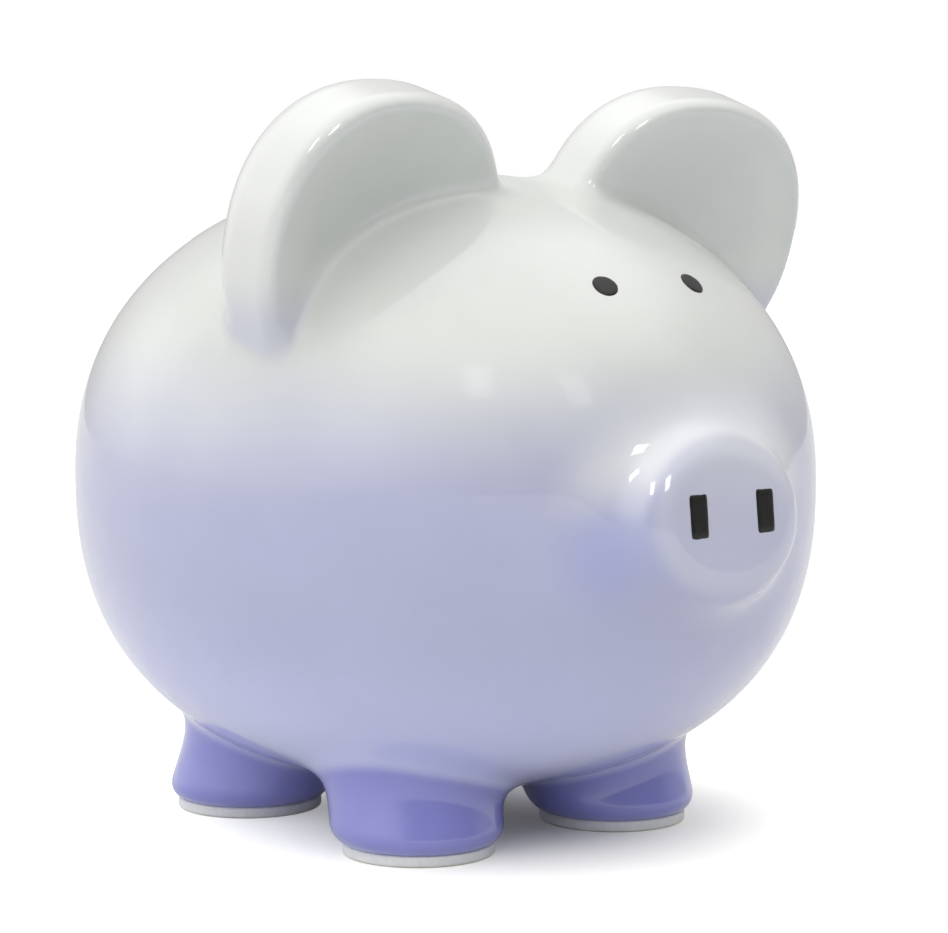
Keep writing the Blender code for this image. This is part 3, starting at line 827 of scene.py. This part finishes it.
def stopper_profile(top, flange):
    """From the middle of the cup's floor, over the rim and flange, to the middle of the grip."""
    bore = PLUG_RADIUS - PLUG_WALL
    low = -FLANGE_THICKNESS
    groove = low + GRIP_DEPTH
    button = low + GRIP_ROUND
    shaft = PLUG_RADIUS - RIB_LIFT
    crest = PLUG_RADIUS - RIB_CLEARANCE
    side = flange - FLANGE_ROUND
    rim_inner = (bore + RIM_INNER_ROUND, top - RIM_INNER_ROUND)
    rim_outer = (PLUG_RADIUS - RIM_OUTER_ROUND - RIM_CHAMFER, top - RIM_OUTER_ROUND)
    profile = [(0.0, CUP_FLOOR), (bore - CUP_FLOOR_MARGIN, CUP_FLOOR)]
    profile += arc((bore - CUP_ROUND, CUP_FLOOR + CUP_ROUND), CUP_ROUND, -90.0, 0.0, 5)
    profile += [(bore, top - RIM_START)]
    profile += arc(rim_inner, RIM_INNER_ROUND, 180.0, 90.0, 4)
    profile += arc(rim_outer, RIM_OUTER_ROUND, 90.0, 15.0, 4)
    for rib in RIB_HEIGHTS:
        profile += [(shaft, rib + RIB_HALF_ROOT), (crest, rib + RIB_HALF_CREST),
                    (crest, rib - RIB_HALF_CREST), (shaft, rib - RIB_HALF_ROOT)]
    profile += [(shaft, ROOT_HEIGHT), (PLUG_RADIUS, 0.0), (side, 0.0)]
    profile += arc((side, -FLANGE_ROUND), FLANGE_ROUND, 90.0, 0.0, 5)
    profile += arc((side, low + FLANGE_ROUND), FLANGE_ROUND, 0.0, -90.0, 5)
    profile += [(GRIP_RING_OUTER, low)]
    profile += arc((GRIP_RING_OUTER - FLANGE_ROUND, button), GRIP_ROUND, -60.0, -120.0, 3)
    profile += [(GRIP_GROOVE_OUTER, groove), (GRIP_GROOVE_INNER, groove),
                (GRIP_BUTTON_SIDE, button)]
    profile += arc((GRIP_BUTTON_TOP, button), GRIP_ROUND, 0.0, -90.0, 4)
    return profile + [(0.0, low)]


def make_stopper():
    """Cup-shaped vinyl plug with a flange and a turned grip underneath."""
    top = stopper_high.z - stopper_low.z - FLANGE_THICKNESS
    flange = (stopper_high.x - stopper_low.x) / 2.0
    place = (0.0, 0.0, stopper_low.z + FLANGE_THICKNESS)
    profile = stopper_profile(top, flange)
    stopper = turned_piece("belly_stopper_vinyl", profile, STOPPER_STEPS, place)
    stopper.data.materials.append(vinyl_material())
    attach(stopper, "stopper")
    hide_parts("belly_stopper")


# ---- Studio: camera, floor, light ----

CAMERA_AZIMUTH = math.radians(-39.0)
CAMERA_ELEVATION = math.radians(5.5)
CAMERA_DISTANCE = 0.780
CAMERA_TARGET = Vector((0.0067, -0.0054, 0.0908))
CAMERA_LENS = 115.0

TO_CAMERA = Vector((math.sin(CAMERA_AZIMUTH) * math.cos(CAMERA_ELEVATION),
                    -math.cos(CAMERA_AZIMUTH) * math.cos(CAMERA_ELEVATION),
                    math.sin(CAMERA_ELEVATION)))


def make_camera():
    data = bpy.data.cameras.new("camera")
    data.lens = CAMERA_LENS
    data.sensor_width = 36.0
    data.clip_start = 0.01
    data.clip_end = 50.0
    camera = bpy.data.objects.new("camera", data)
    camera.location = CAMERA_TARGET + TO_CAMERA * CAMERA_DISTANCE
    camera.rotation_mode = "QUATERNION"
    camera.rotation_quaternion = TO_CAMERA.to_track_quat("Z", "Y")
    bpy.context.scene.collection.objects.link(camera)
    bpy.context.scene.camera = camera


FLOOR_UNDER = (0.90, 0.89, 0.81, 1.0)      # evens out the purple cast below the bank
FLOOR_WHITE = (0.90, 0.90, 0.90, 1.0)
FLOOR_REFLECTED = (0.76, 0.76, 0.76, 1.0)   # what the glaze mirrors
SHADOW_CENTRE = (0.014, -0.018, 0.0)
FLOOR_TINT_REACH = (0.06, 0.16)
FLOOR_GLOW_UNDER = 0.05
FLOOR_GLOW_AROUND = 0.60
FLOOR_GLOW_REACH = (0.01, 0.112)
FLOOR_HALF = 6.0


def make_floor():
    """White table that glows a little round the bank, so that it stays bright in the picture."""
    bm = bmesh.new()
    bmesh.ops.create_grid(bm, x_segments=2, y_segments=2, size=FLOOR_HALF)
    mesh = bpy.data.meshes.new("floor")
    bm.to_mesh(mesh)
    bm.free()
    floor = bpy.data.objects.new("floor", mesh)
    bpy.context.scene.collection.objects.link(floor)
    n = Nodes("floor_white")
    n.constants(Roughness=0.9, Specular_IOR_Level=0.1, Emission_Color=(1.0, 1.0, 1.0, 1.0))
    gap = n.add("ShaderNodeVectorMath", {0: n.place(), 1: SHADOW_CENTRE}, operation="DISTANCE")
    away = gap.outputs["Value"]
    seen = n.add("ShaderNodeLightPath").outputs["Is Camera Ray"]
    around = n.mix(seen, FLOOR_REFLECTED, FLOOR_WHITE)
    n.link(n.mix(n.ramp(away, *FLOOR_TINT_REACH), FLOOR_UNDER, around), "Base Color")
    glow = n.ramp(away, *FLOOR_GLOW_REACH, FLOOR_GLOW_UNDER, FLOOR_GLOW_AROUND)
    n.link(n.math("MULTIPLY", glow, seen), "Emission Strength")
    floor.data.materials.append(n.material)


def add_softbox(name, place, aim, width, height, power):
    data = bpy.data.lights.new(name, "AREA")
    data.shape = "RECTANGLE"
    data.size = width
    data.size_y = height
    data.energy = power
    light = bpy.data.objects.new(name, data)
    light.location = place
    light.rotation_mode = "QUATERNION"
    light.rotation_quaternion = (Vector(place) - Vector(aim)).to_track_quat("Z", "Y")
    bpy.context.scene.collection.objects.link(light)


# Brightness of the tent. An _EDGE says where a patch starts and where it is full, as the cosine
# of the angle from its middle; for the roof and the skirt it is the height of the view's direction
WALL_LIGHT = 0.66
WINDOW_AZIMUTH = math.radians(-118.0)
WINDOW_LIGHT = 1.38
WINDOW_EDGE = (0.25, 0.85)
SKIRT_SHARE = 0.80          # the walls are a little darker close to the floor
SKIRT_EDGE = (-0.02, 0.30)
OPENING_AZIMUTH = math.radians(0.0)
OPENING_LIGHT = 0.18
OPENING_EDGE = (0.45, 0.85)
ROOF_LIGHT = 1.60
ROOF_EDGE = (0.55, 0.90)


def make_world():
    """White tent, brightest overhead and on the pig's right, with a dark opening in front."""
    world = bpy.data.worlds.new("white_tent")
    bpy.context.scene.world = world
    world.use_nodes = True
    tree = world.node_tree
    background = tree.nodes["Background"]
    background.inputs["Color"].default_value = (1.0, 1.0, 1.0, 1.0)

    def ramp(value, start, end, low, high):
        node = tree.nodes.new("ShaderNodeMapRange")
        node.interpolation_type = "SMOOTHSTEP"
        tree.links.new(value, node.inputs["Value"])
        ends = {"From Min": start, "From Max": end, "To Min": low, "To Max": high}
        for key, number in ends.items():
            node.inputs[key].default_value = number
        return node.outputs["Result"]

    def mix(share, first, second):
        node = tree.nodes.new("ShaderNodeMix")
        node.data_type = "FLOAT"
        tree.links.new(share, node.inputs[0])
        for socket, value in ((2, first), (3, second)):
            if isinstance(value, float):
                node.inputs[socket].default_value = value
            else:
                tree.links.new(value, node.inputs[socket])
        return node.outputs[0]

    direction = tree.nodes.new("ShaderNodeTexCoord").outputs["Generated"]

    def times(first, second):
        node = tree.nodes.new("ShaderNodeMath")
        node.operation = "MULTIPLY"
        tree.links.new(first, node.inputs[0])
        tree.links.new(second, node.inputs[1])
        return node.outputs[0]

    def towards(azimuth):
        node = tree.nodes.new("ShaderNodeVectorMath")
        node.operation = "DOT_PRODUCT"
        node.inputs[1].default_value = (math.sin(azimuth), -math.cos(azimuth), 0.0)
        tree.links.new(direction, node.inputs[0])
        return node.outputs["Value"]

    split = tree.nodes.new("ShaderNodeSeparateXYZ")
    tree.links.new(direction, split.inputs[0])
    walls = ramp(towards(WINDOW_AZIMUTH), *WINDOW_EDGE, WALL_LIGHT, WINDOW_LIGHT)
    walls = times(walls, ramp(split.outputs["Z"], *SKIRT_EDGE, SKIRT_SHARE, 1.0))
    walls = mix(ramp(towards(OPENING_AZIMUTH), *OPENING_EDGE, 0.0, 1.0), walls, OPENING_LIGHT)
    tent = mix(ramp(split.outputs["Z"], *ROOF_EDGE, 0.0, 1.0), walls, ROOF_LIGHT)
    seen = tree.nodes.new("ShaderNodeLightPath")
    tree.links.new(mix(seen.outputs["Is Camera Ray"], tent, 1.0), background.inputs["Strength"])


LAMP_DISTANCE = 1.2
LAMP_SIZE = (0.16, 0.28)
LAMP_RADIANCE = 8.0
LAMPS = ((-40.0, 41.0), (-5.0, 37.0))       # azimuth and elevation, degrees
LAMP_AIM = Vector((0.0, 0.0, 0.09))


def make_lights():
    """Two small lamps above the camera, for the crisp highlights."""
    for number, (azimuth, elevation) in enumerate(LAMPS):
        a, e = math.radians(azimuth), math.radians(elevation)
        away = Vector((math.sin(a) * math.cos(e), -math.cos(a) * math.cos(e), math.sin(e)))
        power = LAMP_RADIANCE * math.pi * LAMP_SIZE[0] * LAMP_SIZE[1]
        place = LAMP_AIM + away * LAMP_DISTANCE
        add_softbox(f"lamp_{number}", place, LAMP_AIM, *LAMP_SIZE, power)


bpy.context.scene.view_settings.view_transform = "Standard"

make_casting()
make_marks()
make_pads()
make_stopper()
make_camera()
make_floor()
make_lights()
make_world()
